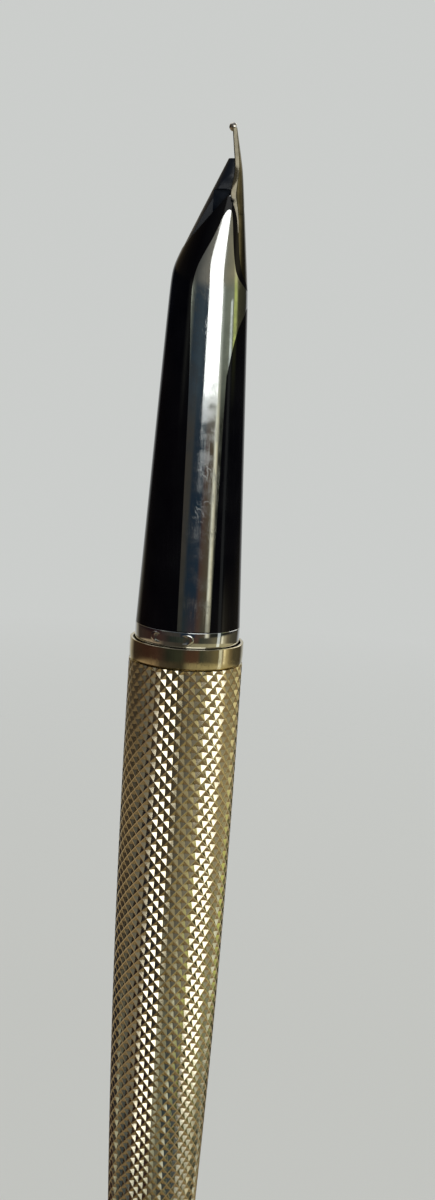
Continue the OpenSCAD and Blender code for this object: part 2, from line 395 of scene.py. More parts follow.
FINISHES = (
    Finish(Slot.RESIN, (0.002, 0.002, 0.004), (0.006, 0.006, 0.008), 0.05, 0.05,
           scratch_depth=0.0006, mottle=4.0, ior=1.28),
    Finish(Slot.INLAY, (0.66, 0.68, 0.68), (0.50, 0.52, 0.53), 0.035, 0.12, 1.0,
           scratch_depth=0.0011, mottle=1.2, grain=0.3, grain_depth=0.0002),
    # The nib's gold is given a dark tone, far darker than the metal: painted shade, standing in for the dark
    # look its face has when seen edge-on.
    Finish(Slot.NIB, (0.17, 0.155, 0.115), (0.09, 0.083, 0.066), 0.08, 0.09, 1.0,
           scratch_depth=0.001, mottle=0.8, grain=0.12, grain_depth=0.0008),
    Finish(Slot.TIP, (0.72, 0.70, 0.68), (0.55, 0.5, 0.42), 0.18, 0.1, 1.0,
           mottle=0.2, grain=0.05, grain_depth=0.002),
    Finish(Slot.FEED, (0.005, 0.010, 0.022), (0.014, 0.022, 0.038), 0.3, 0.12,
           mottle=0.7, grain=0.15, grain_depth=0.003),
    Finish(Slot.WICK, (0.78, 0.74, 0.66), (0.6, 0.56, 0.5), 0.85, 0.1,
           mottle=0.3, grain=0.06, grain_depth=0.02),
    Finish(Slot.LINER, (0.03, 0.03, 0.034), (0.05, 0.05, 0.055), 0.4, 0.12,
           mottle=1.0, grain=0.1, grain_depth=0.003, scratch_depth=0.001),
    Finish(Slot.SEAL, (0.02, 0.02, 0.02), (0.04, 0.04, 0.04), 0.6, 0.12,
           mottle=0.4, grain=0.06, grain_depth=0.004),
    Finish(Slot.CHROME, (0.70, 0.72, 0.74), (0.54, 0.55, 0.56), 0.02, 0.04, 1.0,
           scratch_depth=0.001, mottle=0.8),
    Finish(Slot.GILT, (0.72, 0.65, 0.47), (0.55, 0.49, 0.35), 0.04, 0.07, 1.0,
           scratch_depth=0.001, mottle=0.9, grain=0.4, grain_depth=0.001),
    EngravedFinish(Slot.ENGRAVED, (0.85, 0.78, 0.60), (0.74, 0.67, 0.50), 0.12, 0.07, 1.0, mottle=1.4,
                   grain=0.12, grain_depth=0.001),
    Finish(Slot.BRASS, (0.72, 0.52, 0.24), (0.5, 0.34, 0.15), 0.22, 0.15, 1.0,
           scratch_depth=0.002, mottle=1.2, grain=0.1, grain_depth=0.003),
    Finish(Slot.CONVERTER, (0.012, 0.012, 0.014), (0.03, 0.03, 0.034), 0.22, 0.12,
           mottle=1.6, grain=0.12, grain_depth=0.002, scratch_depth=0.001),
    ClearFinish(Slot.CLEAR, (0.93, 0.96, 0.97), (0.86, 0.9, 0.91), 0.04, 0.05,
                mottle=3.0, scratch_depth=0.001, ior=1.49),
    Finish(Slot.STEEL, (0.62, 0.63, 0.65), (0.48, 0.49, 0.5), 0.2, 0.12, 1.0,
           scratch_depth=0.002, mottle=1.5, grain=0.2, grain_depth=0.002),
)


class Palette:
    """The finished materials by slot."""

    def __init__(self) -> None:
        """Builds every finish once."""
        self.made = {finish.slot: finish.material() for finish in FINISHES}

    def fit(self, piece: bpy.types.Object, slot: Slot, body: Body, node: str) -> None:
        """Gives a piece its finish, puts it on its body in place of a CAD node and reports it.

        Args:
            piece: the piece.
            slot: its material slot.
            body: the body it rides on.
            node: the CAD node that it replaces.
        """
        piece.data.materials.clear()
        piece.data.materials.append(self.made[slot])
        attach(piece, body.value)
        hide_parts(node)
        log.info("%s: %d faces on %s for %s", piece.name, len(piece.data.polygons), body.value, node)

    def dress_nodes(self, slots: dict[str, Slot]) -> None:
        """Gives CAD nodes that stay their finishes.

        Args:
            slots: each node's material slot by its name.
        """
        for name, slot in slots.items():
            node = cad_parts[name]
            for holder in node.material_slots:
                holder.material = self.made[slot]
            if not node.material_slots:
                node.data.materials.append(self.made[slot])
            log.info("%s: CAD shape in %s", name, slot.value)


# ---------------------------------------------------------------------------------- mesh helpers

CREASE = 32.0    # degrees above which an edge is sharp, unless a piece says otherwise
WELD = 1e-7      # metres between points that are one
REACH = 6        # millimetres from the axis that a cutting tool goes, past every surface
PAST_NOSE = 60   # height in millimetres where a cutting tool ends, past the nib


def soft_ramp(distance: float, width: float) -> float:
    """Ramp that is 0 before 0 and rises one for one after it, with a soft start of a width."""
    return (distance + math.sqrt(distance * distance + width * width)) / 2


def smooth_outline(points: Sequence[Point], steps: int = 6) -> list[Point]:
    """Runs a smooth open curve through points.

    Args:
        points: the points in order.
        steps: how many pieces each stretch is cut into.

    Returns:
        The points of the curve.
    """
    count = len(points)
    out = []
    for i in range(count - 1):
        four = [np.array(points[min(max(i + k, 0), count - 1)]) for k in (-1, 0, 1, 2)]
        for s in range(steps):
            t = s / steps
            spot = 0.5 * (2 * four[1] + (four[2] - four[0]) * t
                          + (2 * four[0] - 5 * four[1] + 4 * four[2] - four[3]) * t * t
                          + (3 * four[1] - four[0] - 3 * four[2] + four[3]) * t ** 3)
            out.append((float(spot[0]), float(spot[1])))
    out.append(tuple(points[-1]))
    return out


def rounded(profile: Sequence[Point], radius: float, steps: int = 3) -> list[Point]:
    """Rounds every corner of a closed outline.

    Args:
        profile: its corners in order.
        radius: how far back from a corner the rounding starts.
        steps: how many pieces a corner is cut into.

    Returns:
        The rounded outline.
    """
    out = []
    count = len(profile)
    for i, corner in enumerate(profile):
        here = np.array(corner, float)
        back = np.array(profile[i - 1], float) - here
        ahead = np.array(profile[(i + 1) % count], float) - here
        reach_back = min(radius, np.linalg.norm(back) / 2.2)
        reach_ahead = min(radius, np.linalg.norm(ahead) / 2.2)
        if here[0] <= 1e-9:
            out.append((0.0, float(here[1])))
            continue
        start = here + back / np.linalg.norm(back) * reach_back
        end = here + ahead / np.linalg.norm(ahead) * reach_ahead
        for s in range(steps + 1):
            t = s / steps
            spot = (1 - t) ** 2 * start + 2 * t * (1 - t) * here + t * t * end
            out.append((float(max(spot[0], 0.0)), float(spot[1])))
    return out


def mesh_object(name: str, vertices: Sequence, faces: Sequence,
                crease: float | None = CREASE) -> bpy.types.Object:
    """Makes a mesh object from millimetres.

    Args:
        name: its name.
        vertices: places in millimetres.
        faces: corners of each face.
        crease: angle in degrees above which an edge is sharp, or None for flat faces.

    Returns:
        The object, in metres.
    """
    mesh = bpy.data.meshes.new(name)
    mesh.from_pydata([tuple(float(c) * MM for c in v) for v in vertices], [], [tuple(f) for f in faces])
    piece = bpy.data.objects.new(name, mesh)
    bpy.context.scene.collection.objects.link(piece)
    tidy(piece, crease)
    return piece


def tidy(piece: bpy.types.Object, crease: float | None = CREASE) -> None:
    """Welds a mesh, turns its faces outwards and marks its sharp edges.

    Args:
        piece: the mesh object.
        crease: angle in degrees above which an edge is sharp, or None for flat faces.
    """
    work = bmesh.new()
    work.from_mesh(piece.data)
    bmesh.ops.remove_doubles(work, verts=work.verts, dist=WELD)
    bmesh.ops.recalc_face_normals(work, faces=work.faces)
    for face in work.faces:
        face.smooth = crease is not None
    work.to_mesh(piece.data)
    work.free()
    if crease is not None:
        piece.data.set_sharp_from_angle(angle=math.radians(crease))


def flat_sides(piece: bpy.types.Object) -> None:
    """Keeps small roundings from shading the broad faces beside them.

    Args:
        piece: the mesh object.
    """
    weighted = piece.modifiers.new("broad faces", "WEIGHTED_NORMAL")
    weighted.mode = "FACE_AREA"
    weighted.keep_sharp = True


def turned(name: str, profile: Sequence[Point], segments: int = 96, shape: Shape | None = None,
           crease: float = CREASE) -> bpy.types.Object:
    """Turns a closed outline about the pen's axis.

    Args:
        name: the piece's name.
        profile: (radius, height) points in millimetres, closed.
        segments: steps round the axis.
        shape: changes a radius by (radius, height, angle).
        crease: angle in degrees above which an edge is sharp.

    Returns:
        The piece.
    """
    vertices = []
    for s in range(segments):
        angle = 2 * math.pi * s / segments
        for radius, height in profile:
            r = shape(radius, height, angle) if shape else radius
            vertices.append((r * math.cos(angle), r * math.sin(angle), height))
    count = len(profile)
    faces = [(s * count + i, s * count + (i + 1) % count,
              (s + 1) % segments * count + (i + 1) % count, (s + 1) % segments * count + i)
             for s in range(segments) for i in range(count)]
    piece = mesh_object(name, vertices, faces, crease)
    flat_sides(piece)
    return piece


def carve(piece: bpy.types.Object, tool: bpy.types.Object, operation: str = "DIFFERENCE") -> None:
    """Cuts a piece with a tool, or keeps what they share, or joins them. The tool is used up.

    Args:
        piece: what is cut.
        tool: what cuts it.
        operation: DIFFERENCE, INTERSECT or UNION.
    """
    cut = piece.modifiers.new("cut", "BOOLEAN")
    cut.operation = operation
    cut.solver = "EXACT"
    cut.object = tool
    bpy.context.view_layer.update()
    solved = piece.evaluated_get(bpy.context.evaluated_depsgraph_get())
    result = bpy.data.meshes.new_from_object(solved)
    piece.modifiers.clear()
    old = piece.data
    piece.data = result
    bpy.data.meshes.remove(old)
    bpy.data.objects.remove(tool)


def ring_faces(rings: int, sides: int, base: int = 0) -> list[tuple]:
    """Faces that join rings of points.

    Args:
        rings: how many rings there are, one after another.
        sides: how many points each has.
        base: the number of their first point.

    Returns:
        The corners of each face.
    """
    return [(base + i * sides + s, base + i * sides + (s + 1) % sides,
             base + (i + 1) * sides + (s + 1) % sides, base + (i + 1) * sides + s)
            for i in range(rings - 1) for s in range(sides)]


def box_tool(low: tuple, high: tuple, matrix: Matrix | None = None) -> bpy.types.Object:
    """A block that only cuts.

    Args:
        low: its low corner in millimetres.
        high: its high corner.
        matrix: what moves or slants it, in millimetres too.

    Returns:
        The block.
    """
    corners = [(x, y, z) for x in (low[0], high[0]) for y in (low[1], high[1]) for z in (low[2], high[2])]
    faces = [(0, 1, 3, 2), (4, 6, 7, 5), (0, 4, 5, 1), (2, 3, 7, 6), (0, 2, 6, 4), (1, 5, 7, 3)]
    if matrix is not None:
        corners = [tuple(matrix @ Vector(c)) for c in corners]
    return mesh_object("tool", corners, faces, None)


def side_box(side: int, x: Point, y: Point, z: Point, matrix: Matrix | None = None) -> bpy.types.Object:
    """A block that only cuts, on one side of the middle plane.

    Args:
        side: 1 or -1.
        x: its low and high x in millimetres.
        y: how far from the middle plane it starts and ends.
        z: its low and high z.
        matrix: what moves or slants it.

    Returns:
        The block.
    """
    near, far = sorted((side * y[0], side * y[1]))
    return box_tool((x[0], near, z[0]), (x[1], far, z[1]), matrix)


def prism_tool(outline: Sequence[Point], low: float, high: float) -> bpy.types.Object:
    """A prism that only cuts.

    Args:
        outline: its side outline, as (height, x) points in millimetres.
        low: its low y.
        high: its high y.

    Returns:
        The prism.
    """
    count = len(outline)
    vertices = [(x, y, z) for y in (low, high) for z, x in outline]
    faces = [tuple(range(count)), tuple(range(2 * count - 1, count - 1, -1))]
    faces += [(i, count + i, count + (i + 1) % count, (i + 1) % count) for i in range(count)]
    return mesh_object("tool", vertices, faces, None)


def sheet_between(name: str, low: np.ndarray, high: np.ndarray,
                  crease: float = CREASE) -> bpy.types.Object:
    """Closed sheet between two grids of points.

    Args:
        name: the piece's name.
        low: rows x columns x 3 places in millimetres.
        high: the same for the other face.
        crease: angle in degrees above which an edge is sharp.

    Returns:
        The piece.
    """
    rows, columns = low.shape[:2]
    vertices = np.concatenate([low.reshape(-1, 3), high.reshape(-1, 3)])
    lift = rows * columns
    faces = []
    for i in range(rows - 1):
        for j in range(columns - 1):
            a, b, c, d = (i * columns + j, i * columns + j + 1, (i + 1) * columns + j + 1,
                          (i + 1) * columns + j)
            faces += [(a, b, c, d), (lift + d, lift + c, lift + b, lift + a)]
    edge = ([(i * columns, (i + 1) * columns) for i in range(rows - 1)]
            + [((i + 1) * columns - 1, (i + 2) * columns - 1) for i in range(rows - 1)]
            + [(j, j + 1) for j in range(columns - 1)]
            + [((rows - 1) * columns + j, (rows - 1) * columns + j + 1) for j in range(columns - 1)])
    faces += [(a, b, lift + b, lift + a) for a, b in edge]
    return mesh_object(name, vertices, faces, crease)


# ---------------------------------------------------------------------------------- sub-assemblies


@dataclass
class SectionForm:
    """The outer form of the grip section and nose, in millimetres."""

    rear_radius: float = 4.75
    taper: float = 0.0435
    rear: float = 1.45
    nose: float = 31.3
    shoulder: float = 33.0
    feed_slope: float = 0.41
    crest_slope: float = 0.0635
    bend: float = 41.6
    bend_slope: float = 0.106
    open_low: Point = (35.5, -1.9)
    open_high: Point = (39.2, 1.07)
    fine_from: float = 30.5
    on_form: float = 0.012

    def cone(self, z: float) -> float:
        """Radius of the plain cone at a height."""
        return self.rear_radius - self.taper * (z - self.rear)

    def crest(self, z: float) -> float:
        """Height of the upper line above the axis."""
        return (self.cone(z) - self.crest_slope * soft_ramp(z - self.nose, 0.5)
                - self.bend_slope * soft_ramp(z - self.bend, 0.7))

    def belly(self, z: float) -> float:
        """Height of the lower line, below the axis until the feed."""
        return -self.cone(z) + self.feed_slope * soft_ramp(z - self.shoulder, 0.8)

    def middle(self, z: float) -> float:
        """Centre of the round cross-section."""
        return (self.crest(z) + self.belly(z)) / 2

    def radius(self, z: float) -> float:
        """Radius of the round cross-section."""
        return (self.crest(z) - self.belly(z)) / 2

    def loft(self, name: str, inset: float, low: float, high: float, sides: int = 96) -> bpy.types.Object:
        """Closed loft of the form, less an inset all round.

        Args:
            name: the piece's name.
            inset: how far inside the surface it lies.
            low: height of its rear end.
            high: height of its front end.
            sides: steps round it.

        Returns:
            The loft.
        """
        heights = sorted({*np.linspace(low, min(high, self.fine_from), 16),
                          *np.linspace(self.fine_from, high, 48)})
        vertices = []
        for z in heights:
            for s in range(sides):
                angle = 2 * math.pi * s / sides
                r = self.radius(z) - inset
                vertices.append((self.middle(z) + r * math.cos(angle), r * math.sin(angle), z))
        ends = [tuple(range(sides)), tuple(range(len(vertices) - sides, len(vertices)))]
        return mesh_object(name, vertices, ring_faces(len(heights), sides) + ends)

    def polish(self, piece: bpy.types.Object) -> None:
        """Gives a cut piece the true normals of the form wherever it lies on the form.

        Args:
            piece: the piece, in the form's own place.
        """
        mesh = piece.data
        normals = []
        step = 0.01
        for face in mesh.polygons:
            flat = face.normal
            for corner in face.loop_indices:
                x, y, z = (c / MM for c in mesh.vertices[mesh.loops[corner].vertex_index].co)
                centre, r = self.middle(z), self.radius(z)
                off = math.hypot(x - centre, y) - r
                slope = (self.radius(z + step) - self.radius(z - step)) / (2 * step)
                drift = (self.middle(z + step) - self.middle(z - step)) / (2 * step)
                true = Vector((x - centre, y, -r * slope - (x - centre) * drift)).normalized()
                outer = abs(off) < self.on_form and true.dot(flat) > 0.8
                normals.append(tuple(true if outer else flat))
        for face in mesh.polygons:
            face.use_smooth = True
        mesh.normals_split_custom_set(normals)

    def opening(self) -> bpy.types.Object:
        """Block over everything in front of the oblique opening.

        Returns:
            The block, whose upper face is the plane of the opening.
        """
        run = math.atan2(self.open_high[1] - self.open_low[1], self.open_high[0] - self.open_low[0])
        matrix = Matrix.Translation((self.open_low[1], 0, self.open_low[0])) @ Matrix.Rotation(run, 4, "Y")
        return box_tool((-2 * REACH, -REACH, -4), (0, REACH, 2 * REACH), matrix)


@dataclass
class NibForm:
    """The nib's plan and curve, in millimetres."""

    section: SectionForm
    plan: tuple = ((31.35, 0.0), (31.47, 0.5), (31.8, 0.95), (32.3, 1.42), (33.0, 1.74), (34.2, 1.82),
                   (35.8, 1.71), (37.4, 1.56), (38.6, 1.58), (39.3, 1.6), (40.2, 1.40), (41.6, 0.98),
                   (42.6, 0.77), (44.0, 0.52), (45.1, 0.30))
    thickness: float = 0.3
    forged: float = 0.06
    forged_span: Point = (40.5, 3.0)
    edge_drop: float = 0.05
    sunk: float = 0.03
    rear_curve: float = 3.4
    curve_taper: float = 0.155
    slit: float = 0.05
    breather: Point = (38.2, 0.4)

    def depth(self, z: float) -> float:
        """Thickness of the sheet, which is forged thicker towards the point."""
        start, length = self.forged_span
        return self.thickness + self.forged * min(max((z - start) / length, 0.0), 1.0)

    def surface(self, z: float, y: float, inset: float = 0.0) -> float:
        """Height of the nib's outer face above the axis.

        Args:
            z: the place along the pen.
            y: the distance from the middle plane.
            inset: how far under the outer face.

        Returns:
            The x of the face.
        """
        r = self.rear_curve - self.curve_taper * (z - 31.2)
        centre = self.section.crest(z) - self.sunk - r
        return centre + math.sqrt(max((r - inset) ** 2 - y * y, 0.01))

    def half_width(self, z: float) -> float:
        """Half of the nib's width at a height."""
        curve = smooth_outline(self.plan, 8)
        return float(np.interp(z, [p[0] for p in curve], [p[1] for p in curve]))

    def inner_edge(self, z: float) -> float:
        """Distance of a tine's inner edge from the middle plane.

        Args:
            z: the place along the pen.

        Returns:
            Half the slit's width, or more where the breather hole widens it.
        """
        place, r = self.breather
        hole = math.sqrt(max(r * r - (z - place) ** 2, 0.0))
        cut = self.slit / 2 if z > place else 0.0
        return max(hole, cut)

    def heights(self, count: int = 90) -> list[float]:
        """Heights of the grid's rows.

        Args:
            count: how many there are without the extra ones at the rounded tail and the hole.

        Returns:
            The heights in order.
        """
        tail = self.plan[0][0]
        even = list(np.linspace(tail + 0.5, self.plan[-1][0], count))
        round_tail = [tail + 0.5 * (i / 14) ** 2 for i in range(1, 14)]
        place, r = self.breather
        hole = [place + r * math.sin(a) for a in np.linspace(-math.pi / 2, math.pi / 2, 15)]
        return sorted({*even, *round_tail, *hole})

    def grid(self, side: int, inset: float, grow: float = 0.0, whole: bool = False) -> np.ndarray:
        """One half of the nib as a grid of points.

        Args:
            side: 1 or -1.
            inset: how far inside the outer face it lies.
            grow: how much wider than the nib it is.
            whole: whether the slit and hole are left out.

        Returns:
            rows x columns x 3 places in millimetres.
        """
        rows = []
        outer = inset == 0 and not whole
        for z in self.heights():
            half = max(self.half_width(z) + grow, 0.02)
            start = min(0.0 if whole else self.inner_edge(z), half - 0.01)
            row = []
            below = self.depth(z) - self.thickness + inset if inset else 0.0
            for t in (0, 0.03, 0.1, 0.22, 0.36, 0.5, 0.64, 0.78, 0.9, 0.97, 1.0):
                y = start + (half - start) * t
                rounding = self.edge_drop * max(0.0, (t - 0.9) / 0.1) ** 2 if outer else 0.0
                row.append((self.surface(z, y, below) - rounding, side * y, z))
            rows.append(row)
        return np.array(rows)


@dataclass
class GripSection:
    """Black shell, polished inlay and feed, in millimetres."""

    palette: Palette
    form: SectionForm = field(default_factory=SectionForm)
    length: float = 40.0
    inlay_depth: float = 0.3
    bores: tuple = ((0.0, -1), (3.8, -1), (3.8, 10.1), (3.0, 10.1), (3.0, 27.5), (0.0, 27.5))
    passage: tuple = ((24, -0.15, 2.0), (41, 0.92, 1.25))
    feed_ends: Point = (34.0, 42.5)
    feed_inset: float = 0.06
    keel_cuts: tuple = (((-REACH, REACH), (1.0, 4.0), (39.85, 50)), ((-REACH, -0.1), (1.12, 4.0), (30, 50)))
    recess: tuple = ((-0.1, REACH), (0.0, 4.0), (37.2, 39.8))
    recess_lean: Point = (0.36, 0.66)
    channel: tuple = (0.06, 36)
    shaft: Point = (24.1, 38)
    shaft_gap: float = 0.05
    shell_room: Point = (0.02, 0.04)
    feed_room: Point = (0.03, 0.6)
    inlay_outline: tuple = (
        (-2.0, -0.84), (10.0, -0.98), (22.6, -1.17), (28.0, -1.36), (30.3, -1.43), (31.8, -1.36),
        (33.0, -1.09), (34.0, -0.68), (35.5, 0.06), (36.6, 0.52), (37.4, 0.84), (37.9, 1.12), (38.06, 1.34),
        (37.9, 1.56), (37.2, 1.68), (36.4, 1.76), (34.8, 1.92), (33.6, 2.10), (32.75, 2.30), (32.2, 2.60),
        (31.8, 2.92), (31.45, 3.25), (31.3, 3.6), (31.26, 4.1))
    tongue_outline: tuple = (
        (29.95, 4.1), (29.92, 3.6), (29.75, 3.40), (29.3, 3.27), (28.6, 2.99), (27.9, 2.74), (27.2, 2.58),
        (26.4, 2.42), (25.4, 2.25), (24.2, 2.08), (22.6, 2.0), (10.0, 2.01), (-2.0, 2.02))

    def nib(self) -> NibForm:
        """The form of the nib that sits in this section."""
        return NibForm(self.form)

    def inlay_prism(self) -> bpy.types.Object:
        """Prism over the inlay's side outline.

        Returns:
            The prism.
        """
        upper = smooth_outline(self.inlay_outline)
        lower = smooth_outline(self.tongue_outline)
        return prism_tool(upper + lower, -REACH, REACH)

    def core(self) -> bpy.types.Object:
        """What lies under the inlay's depth, as a tool."""
        return self.form.loft("tool", self.inlay_depth, 0.5, self.length + 1)

    def nib_bed(self, side: int, gap: float, grow: float, overlap: float = 0.02) -> bpy.types.Object:
        """Block that clears one half of the nib, from under it outwards.

        Args:
            side: 1 or -1.
            gap: room under the nib.
            grow: room beside it.
            overlap: how far past the middle plane it goes.

        Returns:
            The block.
        """
        nib = self.nib()
        low = nib.grid(side, nib.thickness + gap, grow, True)
        high = low.copy()
        high[:, :, 0] = REACH
        low[:, 0, 1] = high[:, 0, 1] = -overlap * side
        return sheet_between("tool", low, high)

    def build_inlay(self) -> None:
        """The metal inlay: a strip on each side, joined over the top behind the nib."""
        inlay = self.form.loft("section_inlay", 0.0, self.form.rear + 0.05, self.length)
        carve(inlay, self.inlay_prism(), "INTERSECT")
        carve(inlay, self.core())
        self.form.polish(inlay)
        self.palette.fit(inlay, Slot.INLAY, Body.GRIP, "section_trim")

    def build_shell(self) -> None:
        """The black shell with its inlay pocket, nib bed, oblique mouth and bores."""
        shell = self.form.loft("section_shell_moulding", 0.0, self.form.rear, self.length)
        pocket = self.inlay_prism()
        carve(pocket, self.core())
        carve(shell, pocket)
        for side in (1, -1):
            carve(shell, self.nib_bed(side, *self.shell_room))
        carve(shell, self.form.opening())
        carve(shell, box_tool((-9, -9, self.form.open_high[0]), (9, 9, PAST_NOSE)))
        carve(shell, self.feed_passage())
        carve(shell, turned("tool", self.bores, 64))
        self.form.polish(shell)
        self.palette.fit(shell, Slot.RESIN, Body.GRIP, "section_shell")

    def feed_passage(self, gap: float = 0.0, sides: int = 64) -> bpy.types.Object:
        """Tapered passage of the feed through the nose, or the shaft that fills it.

        Args:
            gap: how much thinner than the passage it is, all round.
            sides: steps round it.

        Returns:
            The tapered plug.
        """
        vertices = [(x + (r - gap) * math.cos(a), (r - gap) * math.sin(a), z) for z, x, r in self.passage
                    for a in np.linspace(0, 2 * math.pi, sides, endpoint=False)]
        ends = [tuple(range(sides)), tuple(range(sides, 2 * sides))]
        return mesh_object("tool", vertices, ring_faces(2, sides) + ends)

    def build_feed(self) -> None:
        """The feed: a keel under the nib with a stepped nose and a shaft inside the shell."""
        feed = self.form.loft("ink_feed", self.feed_inset, *self.feed_ends)
        for side in (1, -1):
            carve(feed, self.nib_bed(side, *self.feed_room))
        carve(feed, self.form.opening(), "INTERSECT")
        for side in (1, -1):
            for cut in self.keel_cuts:
                carve(feed, side_box(side, *cut))
            lean = Matrix.Identity(4)
            lean[1][0], lean[1][3] = self.recess_lean[0] * side, self.recess_lean[1] * side
            carve(feed, side_box(side, *self.recess, lean))
        half, start = self.channel
        carve(feed, box_tool((-REACH, -half, start), (REACH, half, PAST_NOSE)))
        shaft = self.feed_passage(self.shaft_gap)
        for low, high in ((self.shaft[1], PAST_NOSE), (10, self.shaft[0])):
            carve(shaft, box_tool((-REACH, -REACH, low), (REACH, REACH, high)))
        carve(feed, shaft, "UNION")
        tidy(feed, 28)
        self.palette.fit(feed, Slot.FEED, Body.GRIP, "feed")

    def build(self) -> None:
        """Builds the section."""
        self.build_inlay()
        self.build_shell()
        self.build_feed()


@dataclass
class InlaidNib:
    """Two tines joined at the tail, with a hard bead at the point, in millimetres."""

    palette: Palette
    form: NibForm
    undercut: float = 0.018
    crease: float = 40
    seam: float = 2e-6
    bead: float = 0.38
    bead_height: float = 45.16
    bead_sink: float = 0.04
    bead_flat: float = 0.24
    bead_width: float = 0.92

    def build(self) -> None:
        """Builds the sheet and the bead."""
        halves = [sheet_between("nib_half", self.form.grid(side, self.form.thickness, -self.undercut),
                                self.form.grid(side, 0.0), self.crease) for side in (1, -1)]
        nib = halves[0]
        work = bmesh.new()
        for half in halves:
            work.from_mesh(half.data)
        bmesh.ops.remove_doubles(work, verts=work.verts, dist=self.seam)
        doubled = [f for f in work.faces if all(abs(v.co.y) < 1e-6 for v in f.verts)]
        bmesh.ops.delete(work, geom=doubled, context="FACES_ONLY")
        bmesh.ops.recalc_face_normals(work, faces=work.faces)
        work.to_mesh(nib.data)
        work.free()
        bpy.data.objects.remove(halves[1])
        nib.name = "inlaid_nib"
        tidy(nib, self.crease)
        self.palette.fit(nib, Slot.NIB, Body.GRIP, "nib")
        self.build_bead()

    def build_bead(self) -> None:
        """The two ground lobes of the tipping bead."""
        centre = self.form.section.crest(self.bead_height) - self.form.thickness - self.bead_sink
        vertices, faces = [], []
        rings, sides = 14, 20
        for lobe in (1, -1):
            faces += ring_faces(rings + 1, sides, len(vertices))
            for i in range(rings + 1):
                rise = math.pi * i / rings
                for s in range(sides):
                    turn = 2 * math.pi * s / sides
                    x = min(self.bead * math.sin(rise) * math.cos(turn), self.bead_flat)
                    y = self.bead * self.bead_width * math.sin(rise) * math.sin(turn)
                    y = max(y * lobe, self.form.slit / 2) * lobe
                    vertices.append((centre + x, y, self.bead_height + self.bead * math.cos(rise)))
        bead = mesh_object("tipping_bead", vertices, faces, 50)
        self.palette.fit(bead, Slot.TIP, Body.GRIP, "nib_tip")


@dataclass
class CapClutch:
    """Chromed ring in front of the barrel, with two stamped lugs, in millimetres."""

    palette: Palette
    radius: float = 4.77
    height: float = 1.43
    skirt: float = 4.5
    skirt_end: float = -1.8
    bore: float = 3.77
    lug_proud: float = 0.095
    lug_middles: tuple = (-107.0, 73.0)
    lug_half: tuple = (25.0, 0.5)
    lug_height: float = 0.75
    lug_dish: float = 0.085
    lug_rim: float = 0.76
    lug_edge: int = 10
    lug_drop: int = 14
    lug_sunk: float = 0.02
    lug_root: float = 0.15
    lug_rings: tuple = (0, 0.3, 0.5, 0.6, 0.66, 0.71, 0.75, 0.79, 0.83, 0.87, 0.91, 0.95, 0.98, 1)

    def build(self) -> None:
        """Builds the ring and its lugs."""
        profile = rounded(((self.bore, self.height), (self.radius, self.height), (self.radius, 0.0),
                           (self.skirt, -0.02), (self.skirt, self.skirt_end), (self.bore, self.skirt_end)),
                          0.07)
        ring = turned("clutch_collar", profile, 192)
        self.palette.fit(ring, Slot.CHROME, Body.GRIP, "clutch_ring")
        self.build_lugs()

    def build_lugs(self, sides: int = 64) -> None:
        """Two pillowed pads with round ends and a dished middle.

        Args:
            sides: steps round each pad.
        """
        vertices, faces = [], []
        half_turn, half_tall = self.lug_half
        half_long = self.radius * math.radians(half_turn)
        for middle in self.lug_middles:
            faces += ring_faces(len(self.lug_rings) + 1, sides, len(vertices))
            for share in self.lug_rings:
                edge = math.sqrt(max(0.0, 1 - share ** self.lug_edge))
                dish = math.exp(-(share / self.lug_rim) ** self.lug_drop)
                lift = self.lug_proud * edge - self.lug_dish * dish
                for s in range(sides):
                    turn = 2 * math.pi * s / sides
                    straight = (half_long - half_tall) * (1 if math.cos(turn) > 0 else -1)
                    along = share * (straight + half_tall * math.cos(turn))
                    up = share * half_tall * math.sin(turn)
                    angle = math.radians(middle) + along / self.radius
                    r = self.radius + lift - self.lug_sunk
                    vertices.append((r * math.cos(angle), r * math.sin(angle), self.lug_height + up))
            for x, y, z in vertices[-sides:]:
                shrink = (self.radius - self.lug_root) / math.hypot(x, y)
                vertices.append((x * shrink, y * shrink, z))
            faces.append(tuple(range(len(vertices) - sides, len(vertices))))
        lugs = mesh_object("clutch_lug_pads", vertices, faces, 60)
        self.palette.fit(lugs, Slot.CHROME, Body.GRIP, "clutch_lugs")


